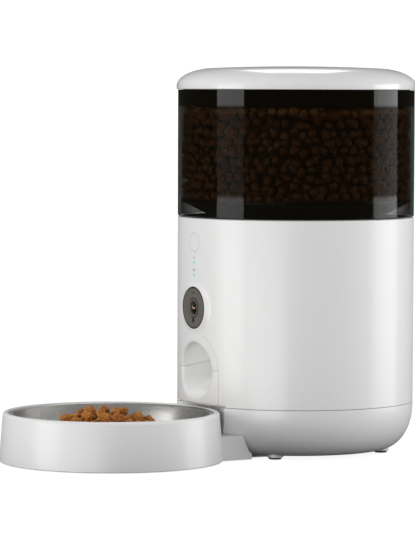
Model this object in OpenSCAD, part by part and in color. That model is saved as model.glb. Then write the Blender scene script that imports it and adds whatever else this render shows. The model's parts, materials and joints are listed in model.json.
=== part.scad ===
// Automatic pet feeder: round tower with a removable hopper, a vane rotor
// that drops portions down a chute, and a bowl in a plug-in holder.
// Millimetres, +Z up, -Y is the front with the bowl. The tower's own axis is
// used inside the modules and place_tower() moves it so that the origin is
// the centre of the whole footprint, on the floor.

/* [Tower] */
// Outer radius of the round tower
tower_r = 95; // [94:0.5:96]
// Thickness of the moulded white walls
wall = 2.6; // [2.4:0.1:2.8]
// Height of the seam between the base and the body
base_top = 40.6; // [40.4:0.1:41]
// Height of the body's upper edge
body_top = 188.6; // [188:0.2:190]
// Height of the hopper's upper edge
hopper_top = 290.2; // [288:0.2:294]
// Width of the fine lines between mouldings
seam = 0.4; // [0.3:0.05:0.5]
// Clearance between pieces that slide on each other
gap = 0.3; // [0.25:0.05:0.35]

/* [Base] */
// Height of the base's flat underside above the floor
base_bottom = 2.8; // [2.6:0.1:3]
// Radial size of the rounding at the foot of the tower
base_round_r = 24; // [22:0.5:25]
// Vertical size of the rounding at the foot of the tower
base_round_z = 35.2; // [34:0.2:36]
// Distance of each foot from the tower's middle planes
foot_offset = 50; // [49.5:0.5:50.5]
// Radius of a rubber foot
foot_r = 5.1; // [4.8:0.1:5.3]

/* [Lid] */
// Outer radius of the lid
lid_r = 96.2; // [95.8:0.2:96.6]
// Height of the lid at its middle, from its lower edge
lid_h = 18.5; // [17:0.5:20]

/* [Food outlet] */
// Height of the middle of the outlet
mouth_z = 69; // [68.5:0.5:69.5]
// Radius of the outlet where it meets the front
mouth_r = 23.5; // [23:0.25:24]
// Radius of the passage behind the lip
throat_r = 20; // [19.5:0.25:20.5]
// Rise of the passage towards the inside, in degrees
chute_rise = 9; // [8:0.5:10]
// Half width of the front panel around the outlet
panel_half = 30; // [29.5:0.25:30.5]

/* [Camera] */
// Height of the camera's middle
camera_z = 117.8; // [117:0.2:119]
// Radius of the dark camera face
face_r = 16.6; // [16:0.2:17]

/* [Bowl] */
// Distance of the bowl's centre from the tower's axis
bowl_dist = 169.7; // [169:0.1:171]
// Radius of the bowl holder at the floor
holder_r = 87.2; // [86.8:0.2:87.4]
// Height of the bowl holder's rim
holder_h = 39.1; // [38.8:0.1:39.2]
// Sheet thickness of the steel bowl
sheet = 0.8; // [0.6:0.1:0.8]

/* [Drive] */
// Module of the gear teeth
gear_m = 1; // [1:1]
// Teeth on the rotor's drive gear
drive_teeth = 32; // [32:1:32]
// Teeth on the idler's small gear
idler_small_teeth = 12; // [12:1:12]
// Teeth on the idler's large gear
idler_large_teeth = 30; // [30:1:30]
// Teeth on the motor's pinion
pinion_teeth = 10; // [10:1:10]
// Number of soft vanes on the rotor
vanes = 6; // [5:1:7]

/* [Hidden] */
$fn = 96;
eps = 0.01;
// the whole footprint is centred on the origin
tower_y = (bowl_dist + holder_r - lid_r) / 2;
inner_r = tower_r - wall;
ellipse_r = tower_r - base_round_r;
ellipse_z = base_bottom + base_round_z;
recess_r = holder_r + 1.8;

// hopper and rotor chamber
hopper_bottom = body_top + gap;
hopper_wall = 2.8;
hopper_in = tower_r - hopper_wall;
chamber_r = 55;
chamber_wall = 2;
cup_bottom = 149.6;
cup_floor = 152;
funnel_low = 186;
funnel_high = 203;
vane_top = 182;
outlet_in = 24;
outlet_out = 53;
outlet_half = 18;

// chassis
column_r = 5;
deck_z = 179;
deck_t = 2.6;
plate_z = 122.4;
plate_t = 3.4;
gearbox_z = plate_z + plate_t + 0.2;
gearbox_split = 138;
gearbox_top = 148;
gearbox_wall = 2;
idler_y = gear_m * (drive_teeth + idler_small_teeth) / 2;
motor_y = idler_y + gear_m * (idler_large_teeth + pinion_teeth) / 2;
gear_low_z = 131;
gear_high_z = 139;
gear_w = 5.5;

// front controls
button_z = 169.7;
button_r = 7.3;
button_travel = 0.8;
led_z = [153.6, 143.6];
led_r = 1;
camera_plane = tower_r + 0.6;
bezel_r = 20.2;

// battery bay: three D cells side by side
cell_r = 17.1;
cell_l = 61.5;
bay_x = 53.5;
bay_front = -30;
bay_back = 35.4;
bay_mid = (bay_front + bay_back) / 2;
bay_roof = 40.4;
door_t = 2;
door_screw_y = 40.8;

// power inlet at the back, in a recess for the plug's sleeve
inlet_z = 60;
inlet_r = 5.9;
plug_r = 6.5;
plug_depth = 3;

// ---------------------------------------------------------------- helpers

module place_tower() {
    translate([0, tower_y, 0]) children();
}

module place_bowl() {
    translate([0, tower_y - bowl_dist, 0]) children();
}

// a cylinder that lies along +Y from its start
module rod_y(r, from, to, x = 0, z = 0) {
    translate([x, from, z]) rotate([-90, 0, 0]) cylinder(r = r, h = to - from);
}

// a box given by its lowest and highest corners
module block(low, high) {
    translate(low) cube(high - low);
}

// a ring about Z
module ring(r_out, r_in, z0, z1) {
    translate([0, 0, z0]) difference() {
        cylinder(r = r_out, h = z1 - z0);
        translate([0, 0, -1]) cylinder(r = r_in, h = z1 - z0 + 2);
    }
}

// points on an arc from one angle to another
function arc(cx, cy, r, from, to, steps) =
    [for (i = [0 : steps]) let (a = from + (to - from) * i / steps) [cx + r * cos(a), cy + r * sin(a)]];

// the base's rounded side: a quarter ellipse, pulled in by an inset
function base_side(inset, steps = 14) =
    [for (i = [0 : steps]) let (a = 90 * i / steps)
        [ellipse_r + (base_round_r - inset) * sin(a), ellipse_z - (base_round_z - inset) * cos(a)]];

// the whole base as a solid of revolution, pulled in by an inset
module base_solid(inset, top) {
    rotate_extrude() polygon(concat(
        [[0, base_bottom + inset]], base_side(inset), [[tower_r - inset, top], [0, top]]
    ));
}

// the space the bowl holder takes out of the tower's front
module recess(r, z0, z1) {
    translate([0, -bowl_dist, z0]) cylinder(r = r, h = z1 - z0, $fn = 180);
}

// the passage's own frame: origin in the outlet, +Y along the passage
module along_chute() {
    translate([0, -tower_r, mouth_z]) rotate([chute_rise, 0, 0]) children();
}

// cross-section of the passage: round above, a flatter floor below
module throat_section(grow) {
    floor_drop = throat_r - 2.5;
    corner = 11.5;
    circle(r = throat_r + grow);
    translate([-throat_r - grow, corner - floor_drop])
        square([2 * (throat_r + grow), floor_drop - corner]);
    for (s = [-1, 1])
        translate([s * (throat_r - corner), -(floor_drop - corner)]) circle(r = corner + grow);
    translate([-(throat_r - corner), -floor_drop - grow])
        square([2 * (throat_r - corner), floor_drop + grow]);
}

module throat(grow, from, to) {
    along_chute() translate([0, from, 0]) rotate([90, 0, 0]) mirror([0, 0, 1])
        linear_extrude(height = to - from) throat_section(grow);
}

// everything above or below the plane that splits the passage
module above_split(offset) {
    along_chute() block([-60, -20, offset], [60, 90, 90]);
}

module below_split(offset) {
    along_chute() block([-60, -20, -90], [60, 90, offset]);
}

// flare of the lip, from the front surface to the throat
module lip_flare() {
    translate([0, -tower_r - 7, mouth_z]) rotate([-90, 0, 0])
        cylinder(r1 = mouth_r + 4.5, r2 = throat_r, h = 14);
}

// the outline of the front panel: an arch on straight sides
module panel_outline(z0) {
    translate([0, -60, 0]) rotate([90, 0, 0]) linear_extrude(height = 40) {
        translate([0, mouth_z]) circle(r = panel_half);
        translate([-panel_half, z0]) square([2 * panel_half, mouth_z - z0]);
    }
}

// what the rounding takes off the tower's lower outer edge
module edge_round(low, r = 3) {
    translate([0, 0, low]) rotate_extrude() difference() {
        translate([tower_r - r, -1]) square([r + 2, r + 1]);
        translate([tower_r - r, r]) circle(r = r);
    }
}

// ------------------------------------------------------------------ base

module foot_places() {
    for (sx = [-1, 1], sy = [-1, 1]) translate([sx * foot_offset, sy * foot_offset, 0]) children();
}

module base_shell() {
    floor_top = base_bottom + wall;
    color("gainsboro") place_tower() difference() {
        union() {
            difference() {
                base_solid(0, base_top);
                base_solid(wall, base_top + 1);
            }
            intersection() {
                base_solid(0, base_top);
                recess(recess_r + wall, 0, base_top + 1);
            }
            // foot collars and the screw bosses above them
            intersection() {
                foot_places() translate([0, 0, 1.6]) cylinder(r = 6.5, h = base_top - 1.6);
                union() {
                    base_solid(0.5, base_top);
                    block([-70, -70, 0], [70, 70, floor_top + 2]);
                }
            }
            // walls and roof of the battery bay
            block([-bay_x - 2, bay_front - 2, base_bottom + 1], [bay_x + 2, bay_back + 2, bay_roof + 2]);
            // boss of the door's screw
            translate([0, door_screw_y, base_bottom + 1]) cylinder(r = 4, h = 12);
        }
        recess(recess_r, -1, base_top + 1);
        block([-bay_x, bay_front, base_bottom - 1], [bay_x, bay_back, bay_roof]);
        translate([0, 0, base_bottom - 1]) linear_extrude(height = door_t + 1 + gap) door_outline(gap);
        translate([0, door_screw_y, 0]) cylinder(r = 1.2, h = 14);
        foot_places() {
            translate([0, 0, -1]) cylinder(r = foot_r + 0.1, h = 4.2);
            cylinder(r = 3.7, h = 8);
            cylinder(r = 2, h = base_top + 1);
        }
    }
}

module rubber_feet() {
    color("black") place_tower() foot_places() {
        cylinder(r1 = foot_r - 0.5, r2 = foot_r, h = 0.5);
        translate([0, 0, 0.5]) cylinder(r = foot_r, h = 2.7);
    }
}

// plan of the battery door, with its screw tab at the back
module door_outline(grow) {
    half_y = (bay_back - bay_front) / 2 - gap + grow;
    half_x = bay_x - gap + grow;
    translate([-half_x, bay_mid - half_y]) square([2 * half_x, 2 * half_y]);
    translate([0, door_screw_y - 1]) circle(r = 5 + grow);
}

module battery_door() {
    color("gainsboro") place_tower() difference() {
        union() {
            translate([0, 0, base_bottom]) linear_extrude(height = door_t) door_outline(0);
            // ribs that steady the cells
            for (y = [bay_front + 12, bay_mid, bay_back - 12])
                translate([0, y, base_bottom + door_t])
                    block([-bay_x + 2, -0.8, 0], [bay_x - 2, 0.8, 0.8]);
        }
        translate([0, door_screw_y, 0]) cylinder(r = 1.7, h = 10);
        translate([0, door_screw_y, base_bottom - eps]) cylinder(r1 = 3.2, r2 = 1.7, h = 1.4);
        // grip grooves
        for (i = [0 : 4])
            translate([0, bay_front + 6 + 2.4 * i, base_bottom]) block([-14, 0, -1], [14, 1.2, 0.6]);
    }
}

module door_screw() {
    color("silver") place_tower() translate([0, door_screw_y, base_bottom]) difference() {
        union() {
            cylinder(r1 = 3.1, r2 = 1.2, h = 1.3);
            cylinder(r = 1.2, h = 9);
        }
        for (a = [0, 90]) rotate([0, 0, a]) block([-1.6, -0.35, -1], [1.6, 0.35, 0.8]);
    }
}

module battery_cells() {
    color("dimgray") place_tower() for (i = [-1, 0, 1]) {
        x = i * (2 * cell_r + 1);
        from = bay_front + 3.2;
        rod_y(cell_r, from, from + cell_l - 1.6, x, bay_roof - cell_r - 0.3);
        rod_y(5, from + cell_l - 1.7, from + cell_l, x, bay_roof - cell_r - 0.3);
    }
}

module battery_contacts() {
    cell_z = bay_roof - cell_r - 0.3;
    color("gold") place_tower() for (i = [-1, 0, 1]) {
        x = i * (2 * cell_r + 1);
        // flat contact at the back, plate with a conical spring at the front
        block([x - 8, bay_back - 0.6, cell_z - 8], [x + 8, bay_back, cell_z + 8]);
        block([x - 8, bay_front, cell_z - 8], [x + 8, bay_front + 0.6, cell_z + 8]);
        for (k = [0 : 2])
            translate([x, bay_front + 0.9 + 0.75 * k, cell_z]) rotate([-90, 0, 0])
                rotate_extrude() translate([6 - 1.1 * k, 0]) circle(r = 0.4, $fn = 16);
        // stem that joins the spring's turns
        for (k = [0 : 1])
            rod_y(0.5, bay_front + 0.5 + 0.75 * k, bay_front + 2.2 + 0.45 * k, x + 5.6 - 1.1 * k, cell_z);
    }
}

module case_screws() {
    color("silver") place_tower() foot_places() translate([0, 0, 5.4]) difference() {
        union() {
            cylinder(r = 3.4, h = 2.6);
            cylinder(r = 1.75, h = 50);
        }
        for (a = [0, 90]) rotate([0, 0, a]) block([-2, -0.4, -1], [2, 0.4, 1.4]);
    }
}

// ------------------------------------------------------------------ body

module speaker_holes() {
    rod_y(0.9, 60, tower_r + 5, 0, 112);
    for (n = [1, 2]) for (i = [0 : 6 * n - 1])
        rod_y(0.9, 60, tower_r + 5, 4.6 * n * cos(60 * i / n), 112 + 4.6 * n * sin(60 * i / n));
}

module body_shell() {
    low = base_top + seam;
    color("white") place_tower() difference() {
        union() {
            ring(tower_r, inner_r, low, body_top - 0.6);
            translate([0, 0, body_top - 0.6]) rotate_extrude()
                polygon([[inner_r, 0], [tower_r, 0], [tower_r - 0.6, 0.6], [inner_r, 0.6]]);
            // soffit over the bowl holder
            intersection() {
                translate([0, 0, low]) cylinder(r = inner_r + 0.5, h = 2);
                recess(recess_r + wall, low, low + 2);
            }
            // posts for the front board
            for (sx = [-1, 1], z = [139, 159]) rod_y(2.2, -inner_r - 0.4, -84, sx * 9.5, z);
            // ring that holds the speaker
            intersection() {
                translate([0, 0, 112]) rotate([-90, 0, 0]) ring(20, 18.3, 80, 94);
                cylinder(r = inner_r + 0.5, h = body_top);
            }
            // ledge under the hopper deck
            ring(inner_r + 0.5, inner_r - 2.4, deck_z - 3, deck_z);
            // collar around the power inlet
            intersection() {
                rod_y(inlet_r + 2.6, 82, 94, 0, inlet_z);
                cylinder(r = inner_r + 0.5, h = body_top);
            }
        }
        panel_outline(low - 1);
        rod_y(face_r + 1, -tower_r - 5, -80, 0, camera_z);
        rod_y(button_r + 0.25, -tower_r - 5, -80, 0, button_z);
        rod_y(button_r + 1.6, -91.95, -80, 0, button_z);
        for (z = led_z) rod_y(led_r + 0.05, -tower_r - 5, -80, 0, z);
        speaker_holes();
        rod_y(inlet_r, 75, tower_r + 5, 0, inlet_z);
        rod_y(plug_r, tower_r - plug_depth, tower_r + 5, 0, inlet_z);
        // rounded lower edge above the bowl holder
        intersection() {
            edge_round(low);
            recess(recess_r + 1, low - 2, low + 4);
        }
    }
}

// the panel's upper piece is round, its lower piece is straight-sided
module arch_outline(r) {
    translate([0, -60, mouth_z]) rotate([90, 0, 0]) cylinder(r = r, h = 40);
}

module outlet_arch() {
    color("white") place_tower() difference() {
        intersection() {
            union() {
                intersection() {
                    ring(tower_r, inner_r - 2, mouth_z - 5, mouth_z + panel_half + 1);
                    arch_outline(panel_half - 0.2);
                }
                // flange behind the body's wall
                intersection() {
                    ring(inner_r - 0.1, inner_r - 2, mouth_z + 2, mouth_z + panel_half + 2);
                    arch_outline(panel_half + 1);
                }
                intersection() {
                    union() {
                        throat(2, 0, 33);
                        throat(4.5, 0, 8);
                    }
                    cylinder(r = tower_r - 1, h = body_top);
                }
            }
            above_split(seam / 2);
        }
        throat(0, -8, 40);
        lip_flare();
    }
}

module chute_cover() {
    low = base_top + seam;
    half = panel_half - gap;
    color("white") place_tower() difference() {
        intersection() {
            union() {
                intersection() {
                    ring(tower_r, inner_r, low, mouth_z + 3);
                    block([-half, -tower_r - 5, low - 1], [half, -60, mouth_z + 5]);
                }
                intersection() {
                    union() {
                        throat(2, 0, 33);
                        throat(4.5, 0, 8);
                    }
                    cylinder(r = tower_r - 1, h = body_top);
                }
                // underside that closes the panel above the bowl
                intersection() {
                    along_chute() block([-half + 0.2, -4, -26.5], [half - 0.2, 12, -24.5]);
                    cylinder(r = tower_r - 1, h = body_top);
                }
                // ribs between the passage and the underside
                for (sx = [-1, 1])
                    intersection() {
                        along_chute() block([sx * 8 - 1, -3, -26], [sx * 8 + 1, 12, -18.5]);
                        cylinder(r = tower_r - 1, h = body_top);
                    }
            }
            below_split(-seam / 2);
        }
        throat(0, -8, 40);
        lip_flare();
        edge_round(low);
    }
}

// side outline of the passage's inner half: a drop with a steep slide
module drop_outline(grow) {
    top = cup_bottom - 0.4;
    polygon([
        [-64 + grow / 2, 53.4 - 1.2 * grow], [-58, 54 - 1.2 * grow], [-23 + grow, 88 - 0.6 * grow],
        [-23 + grow, top], [-54 - grow, top], [-54 - grow, 100], [-64 + grow / 2, 92 + grow]
    ]);
}

module drop_solid(half, grow) {
    translate([-half, 0, 0]) rotate([90, 0, 90]) linear_extrude(height = 2 * half) drop_outline(grow);
}

module chute_duct() {
    color("white") place_tower() difference() {
        union() {
            intersection() {
                drop_solid(throat_r, 2);
                along_chute() block([-60, 33.3, -60], [60, 120, 120]);
            }
            // feet on the chassis plate
            for (sx = [0, 1]) mirror([sx, 0, 0])
                translate([0, 0, plate_z + plate_t]) block([throat_r - 1, -46, 0], [30, -30, 2]);
        }
        drop_solid(throat_r - 2, 0);
        intersection() {
            throat(0, 30, 48);
            above_split(-16);
        }
    }
}

module drop_sensors() {
    color("dimgray") place_tower() for (sx = [0, 1]) mirror([sx, 0, 0])
        block([throat_r, -43, 106], [26, -33, 116]);
}

// --------------------------------------------------------------- chassis

module chassis_frame() {
    color("lightgray") place_tower() difference() {
        union() {
            foot_places() translate([0, 0, base_top + 0.1])
                cylinder(r = column_r, h = deck_z - base_top - 0.1);
            translate([0, 0, plate_z]) cylinder(r = 76, h = plate_t);
            // ribs under the plate
            for (sx = [-1, 1]) block([sx * 30 - 1.2, -24, plate_z - 8], [sx * 30 + 1.2, 60, plate_z + 1]);
        }
        block([-throat_r - 2.6, -90, plate_z - 1], [throat_r + 2.6, -19.4, plate_z + plate_t + 1]);
        translate([0, motor_y, plate_z - 1]) cylinder(r = 12.3, h = plate_t + 2);
        foot_places() cylinder(r = 1.8, h = 62);
        foot_places() translate([0, 0, deck_z - 14]) cylinder(r = 1.25, h = 20);
    }
}

module hopper_deck() {
    color("whitesmoke") place_tower() difference() {
        union() {
            ring(inner_r - 0.1, chamber_r + chamber_wall + 1, deck_z, deck_z + deck_t);
            // raised track that the hopper stands on
            ring(inner_r - 1, inner_r - 5, deck_z + 1, hopper_bottom - 0.1);
            // guide around the rotor chamber
            ring(chamber_r + chamber_wall + 3, chamber_r + chamber_wall + 1, deck_z - 8, deck_z + 1);
        }
        foot_places() translate([0, 0, deck_z - 1]) cylinder(r = 1.6, h = 5);
    }
}

// middles of the gear case's fixing tabs
case_tabs = [[-22, 12], [22, 12], [-19, 35], [19, 35]];

// plan of the gear case: a circle around each gear, bridged
module gear_case_plan(grow) {
    circle(r = gear_m * drive_teeth / 2 + 2 + grow);
    translate([0, idler_y]) circle(r = gear_m * idler_large_teeth / 2 + 2 + grow);
    translate([0, motor_y]) circle(r = gear_m * pinion_teeth / 2 + 4 + grow);
    translate([-9 - grow, 0]) square([18 + 2 * grow, motor_y]);
}

module gearbox_case() {
    color("ivory") place_tower() difference() {
        union() {
            translate([0, 0, gearbox_z]) linear_extrude(height = gearbox_split - gearbox_z)
                gear_case_plan(gearbox_wall);
            // tabs on the chassis plate
            for (s = case_tabs)
                block([s[0] - 6, s[1] - 4.5, gearbox_z], [s[0] + 6, s[1] + 4.5, gearbox_z + 2.4]);
        }
        difference() {
            translate([0, 0, gearbox_z + gearbox_wall]) linear_extrude(height = 30) gear_case_plan(0);
            // step that carries the drive gear's lower stub
            cylinder(r = 5.5, h = gearbox_split + 0.6);
        }
        translate([0, 0, gearbox_z + 3]) cylinder(r = 3.06, h = 30);
        translate([0, idler_y, gearbox_z - 1]) cylinder(r = 2, h = 5);
        translate([0, motor_y, gearbox_z - 1]) cylinder(r = 3, h = 5);
        for (s = case_tabs) translate([s[0] + sign(s[0]) * 2.5, s[1], gearbox_z - 1])
            cylinder(r = 1.3, h = 5);
    }
}

module gearbox_cover() {
    color("ivory") place_tower() difference() {
        translate([0, 0, gearbox_split]) linear_extrude(height = gearbox_top - gearbox_split)
            gear_case_plan(gearbox_wall);
        translate([0, 0, gearbox_split - 1]) linear_extrude(height = gearbox_top - gearbox_split - 1)
            gear_case_plan(0);
        translate([0, 0, gearbox_top - 4]) cylinder(r = 6, h = 6);
        translate([0, idler_y, gearbox_top - 4]) cylinder(r = 2, h = 3.2);
    }
}

module shaft_bush() {
    color("peru") place_tower() {
        ring(6, 4.05, gearbox_top - 2, gearbox_top + 1);
        ring(7, 4.05, gearbox_top, gearbox_top + 1);
    }
}

module idler_axle() {
    color("silver") place_tower() translate([0, idler_y, gearbox_z])
        cylinder(r = 2, h = gearbox_top - 1 - gearbox_z);
}

// involute gear outline: teeth are placed so that one is centred on angle 0
function roll(r, base) = r <= base ? 0 : let (a = acos(base / r)) tan(a) * 180 / PI - a;

function flank(teeth, r) =
    let (pitch = gear_m * teeth / 2, base = pitch * cos(20), play = 0.11)
    90 / teeth - (play / pitch) * 180 / PI + roll(pitch, base) - roll(r, base);

function gear_points(teeth) =
    let (pitch = gear_m * teeth / 2, root = pitch - 1.25 * gear_m, tip = pitch + 0.85 * gear_m, steps = 5)
    [for (t = [0 : teeth - 1]) let (mid = 360 * t / teeth)
        for (k = [-steps : steps])
            if (k != 0)
                let (r = k < 0 ? root + (tip - root) * (steps + k) / (steps - 1)
                        : tip - (tip - root) * (k - 1) / (steps - 1),
                     a = mid + (k < 0 ? -1 : 1) * flank(teeth, r))
                [r * cos(a), r * sin(a)]];

module gear(teeth, height) {
    linear_extrude(height = height) polygon(gear_points(teeth));
}

module drive_gear() {
    color("ivory") place_tower() {
        translate([0, 0, gear_high_z]) gear(drive_teeth, gear_w);
        translate([0, 0, gearbox_z + 3.4]) cylinder(r = 3, h = gear_high_z - gearbox_z - 3.4);
        translate([0, 0, gear_high_z + gear_w]) cylinder(r = 4, h = cup_floor + 0.4 - gear_high_z - gear_w);
        // hexagonal drive that plugs into the rotor
        translate([0, 0, cup_floor + 0.2]) cylinder(r = 4, h = 13.8, $fn = 6);
    }
}

module idler_gear() {
    color("ivory") place_tower() translate([0, idler_y, 0]) difference() {
        union() {
            translate([0, 0, gear_low_z]) gear(idler_large_teeth, gear_w);
            translate([0, 0, gear_low_z + gear_w - eps]) cylinder(r = 4.4, h = 3);
            translate([0, 0, gear_high_z - 0.4]) rotate([0, 0, 180 / idler_small_teeth])
                gear(idler_small_teeth, gear_w + 0.8);
        }
        translate([0, 0, gear_low_z - 1]) cylinder(r = 2.05, h = 20);
    }
}

module motor_pinion() {
    color("gold") place_tower() translate([0, motor_y, 0]) {
        translate([0, 0, gear_low_z - 0.4]) rotate([0, 0, 180 / pinion_teeth])
            gear(pinion_teeth, gear_w + 0.8);
        translate([0, 0, 118]) cylinder(r = 1, h = gear_low_z - 118);
    }
}

module feed_motor() {
    color("silver") place_tower() translate([0, motor_y, 0]) difference() {
        union() {
            translate([0, 0, 94]) cylinder(r = 12, h = gearbox_z - 94);
            translate([0, 0, 92]) cylinder(r = 5, h = 3);
            translate([0, 0, gearbox_z - 0.1]) cylinder(r = 2.9, h = 1.6);
            for (sx = [-1, 1]) translate([sx * 7.5, 0, 89.5]) block([-1.2, -0.3, 0], [1.2, 0.3, 5]);
        }
        translate([0, 0, 117]) cylinder(r = 1.06, h = 20);
    }
}

// two leads from the motor's terminals down to the main board
module motor_leads() {
    color("crimson") place_tower() for (sx = [-1, 1]) translate([sx * 7.5, motor_y, 0]) {
        translate([0, 0, 86]) cylinder(r = 0.8, h = 3.5, $fn = 24);
        translate([0, 4, 86]) rotate([90, 0, 90]) rotate_extrude(start = 180, angle = 90, $fn = 48)
            translate([4, 0]) circle(r = 0.8, $fn = 24);
        translate([0, 4, 82]) rotate([-90, 0, 0]) cylinder(r = 0.8, h = 53.4 - motor_y - 4, $fn = 24);
    }
}

// ----------------------------------------------------------- electronics

module main_board() {
    color("darkgreen") place_tower() {
        difference() {
            block([-56, 55, 46.2], [56, 56.6, 90]);
            for (sx = [-1, 1], z = [52, 84]) rod_y(1.6, 50, 60, sx * foot_offset, z);
        }
        // controller, radio module, connectors and capacitors
        block([-10, 56.6, 60], [6, 58.2, 76]);
        block([18, 56.6, 58], [36, 59.2, 82]);
        block([-38, 56.6, 66], [-24, 62, 72]);
        for (i = [0 : 2]) rod_y(3.2, 56.6, 66, -40 + 8 * i, 54);
        block([-12, 53.4, 79], [12, 55, 86]);
    }
}

module front_board() {
    color("darkgreen") place_tower() {
        block([-12, -84, 136], [12, -82.4, 177]);
        // switch behind the button, lamps behind the light pipes, socket
        block([-3, -86, button_z - 3], [3, -84, button_z + 3]);
        for (z = led_z) block([-1.3, -85.2, z - 1.3], [1.3, -84, z + 1.3]);
        block([-6, -82.4, 157], [6, -78.4, 163]);
    }
}

module power_inlet() {
    color("black") place_tower() difference() {
        union() {
            rod_y(inlet_r - 0.05, 79, tower_r - plug_depth - 0.2, 0, inlet_z);
            block([-4.5, 70, inlet_z - 5], [4.5, 80, inlet_z + 5]);
        }
        rod_y(2.8, 82, tower_r, 0, inlet_z);
        rod_y(1, 69, 90, 0, inlet_z);
    }
}

module inlet_pin() {
    color("gold") place_tower() union() {
        rod_y(1, 67.5, 90.4, 0, inlet_z);
        block([-3.5, 68, inlet_z - 4], [-2.5, 70, inlet_z + 4]);
        block([2.5, 68, inlet_z - 4], [3.5, 70, inlet_z + 4]);
        block([-3.5, 67.4, inlet_z - 4], [3.5, 68, inlet_z + 4]);
    }
}

module speaker() {
    color("dimgray") place_tower() translate([0, 0, 112]) rotate([-90, 0, 0]) {
        ring(18.2, 15.6, 82, 86);
        translate([0, 0, 76]) cylinder(r = 11, h = 6);
        translate([0, 0, 81.5]) cylinder(r1 = 11, r2 = 16, h = 2);
        translate([0, 0, 83.4]) cylinder(r = 15.8, h = 0.6);
    }
}

// -------------------------------------------------------- front controls

module feed_button() {
    color("white") place_tower() {
        difference() {
            intersection() {
                rod_y(button_r, -tower_r - 1, -90.6, 0, button_z);
                cylinder(r = tower_r, h = body_top, $fn = 360);
            }
            rod_y(button_r - 1.4, -93.4, -80, 0, button_z);
        }
        difference() {
            rod_y(button_r + 1.2, -91.9, -90.6, 0, button_z);
            rod_y(button_r - 1.4, -93, -80, 0, button_z);
        }
        rod_y(1.8, -94, -86 - button_travel - 0.4, 0, button_z);
    }
}

module led_light_pipes() {
    color("turquoise") place_tower() for (z = led_z) {
        intersection() {
            rod_y(led_r, -tower_r - 1, -85.4, 0, z);
            cylinder(r = tower_r, h = body_top);
        }
        rod_y(2, -92, -90.8, 0, z);
    }
}

module camera_bezel() {
    color("white") place_tower() difference() {
        union() {
            rod_y(bezel_r - 0.8, -camera_plane, -inner_r, 0, camera_z);
            translate([0, -camera_plane, camera_z]) rotate([-90, 0, 0])
                cylinder(r1 = bezel_r - 1.4, r2 = bezel_r, h = 2.6);
            // sleeve and posts that hold the camera module
            rod_y(face_r + 0.9, -inner_r - 1, -86, 0, camera_z);
            for (sx = [-1, 1], sz = [-1, 1])
                rod_y(1.8, -88, -76, sx * 11, camera_z + sz * 11);
        }
        difference() {
            rod_y(face_r + 0.1, -camera_plane - 1, -89.6, 0, camera_z);
            rod_y(60, -camera_plane + 1.8, -89.7, 0, camera_z);
        }
        rod_y(15.2, -camera_plane - 1, -85, 0, camera_z);
        // the part outside the ring follows the tower's own surface
        difference() {
            intersection() {
                cylinder(r = tower_r + 0.02, h = 170);
                rod_y(60, -tower_r, -inner_r + 0.5, 0, camera_z);
            }
            rod_y(face_r + 0.9, -120, -60, 0, camera_z);
        }
    }
}

module camera_face() {
    color([0.28, 0.27, 0.25]) place_tower() difference() {
        rod_y(face_r, -camera_plane, -camera_plane + 1.6, 0, camera_z);
        rod_y(7.5, -camera_plane - 1, -80, 0, camera_z);
        rod_y(0.85, -camera_plane - 1, -80, 0, camera_z + 11.8);
        rod_y(1.8, -camera_plane - 1, -80, 0, camera_z - 9.9);
        rod_y(0.7, -camera_plane - 1, -80, 0, camera_z - 12.8);
    }
}

module lens_ring() {
    color([0.12, 0.12, 0.12]) place_tower() difference() {
        rod_y(7.4, -camera_plane - 0.3, -camera_plane + 4, 0, camera_z);
        translate([0, -camera_plane - 0.31, camera_z]) rotate([-90, 0, 0])
            cylinder(r1 = 5.9, r2 = 5.3, h = 0.9);
        rod_y(5.3, -camera_plane - 1, -60, 0, camera_z);
    }
}

module camera_lens() {
    color([0.05, 0.04, 0.05]) place_tower() intersection() {
        translate([0, -camera_plane + 12.2, camera_z]) sphere(r = 12);
        rod_y(5.25, -camera_plane - 1, -camera_plane + 3.6, 0, camera_z);
    }
}

module light_sensor() {
    color([0.1, 0.1, 0.1]) place_tower()
        rod_y(1.75, -camera_plane + 0.15, -camera_plane + 2.4, 0, camera_z - 9.9);
}

module camera_module() {
    color("darkgreen") place_tower() {
        difference() {
            block([-14, -76, camera_z - 14], [14, -74.4, camera_z + 14]);
            for (sx = [-1, 1], sz = [-1, 1]) rod_y(0.9, -80, -70, sx * 11, camera_z + sz * 11);
        }
        rod_y(6.9, -camera_plane + 4.2, -76, 0, camera_z);
        block([-8, -84, camera_z - 8], [8, -76, camera_z + 8]);
        rod_y(1.4, -84, -76, 0, camera_z + 11.8);
    }
}

// ---------------------------------------------------------------- hopper

module hopper_shell() {
    color([0.2, 0.18, 0.16, 0.5]) place_tower() {
        difference() {
            ring(tower_r, hopper_in, hopper_bottom, hopper_top);
            translate([0, 0, hopper_top - 1.2]) cylinder(r1 = hopper_in, r2 = hopper_in + 1.2, h = 1.3);
            // shadow gap and chamfer above the body
            rotate_extrude() translate([tower_r, hopper_bottom])
                polygon([[-1.4, -1], [1, -1], [1, 2], [-0.6, 0.4], [-1.4, 0.4]]);
        }
        // foot flange and its gussets
        ring(hopper_in + 0.2, hopper_in - 6, hopper_bottom, hopper_bottom + 1.8);
        for (i = [0 : 11]) rotate([0, 0, 30 * i])
            translate([0, 0.9, hopper_bottom + 1.7]) rotate([90, 0, 0]) linear_extrude(height = 1.8)
                polygon([[hopper_in - 5.6, 0], [hopper_in + 0.3, 0], [hopper_in + 0.3, 6.4]]);
    }
}

// the sector above the rotor that keeps food from falling straight through
module front_sector(r, half_angle, z0, z1) {
    translate([0, 0, z0]) rotate([0, 0, -90 - half_angle])
        rotate_extrude(angle = 2 * half_angle) square([r, z1 - z0]);
}

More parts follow.
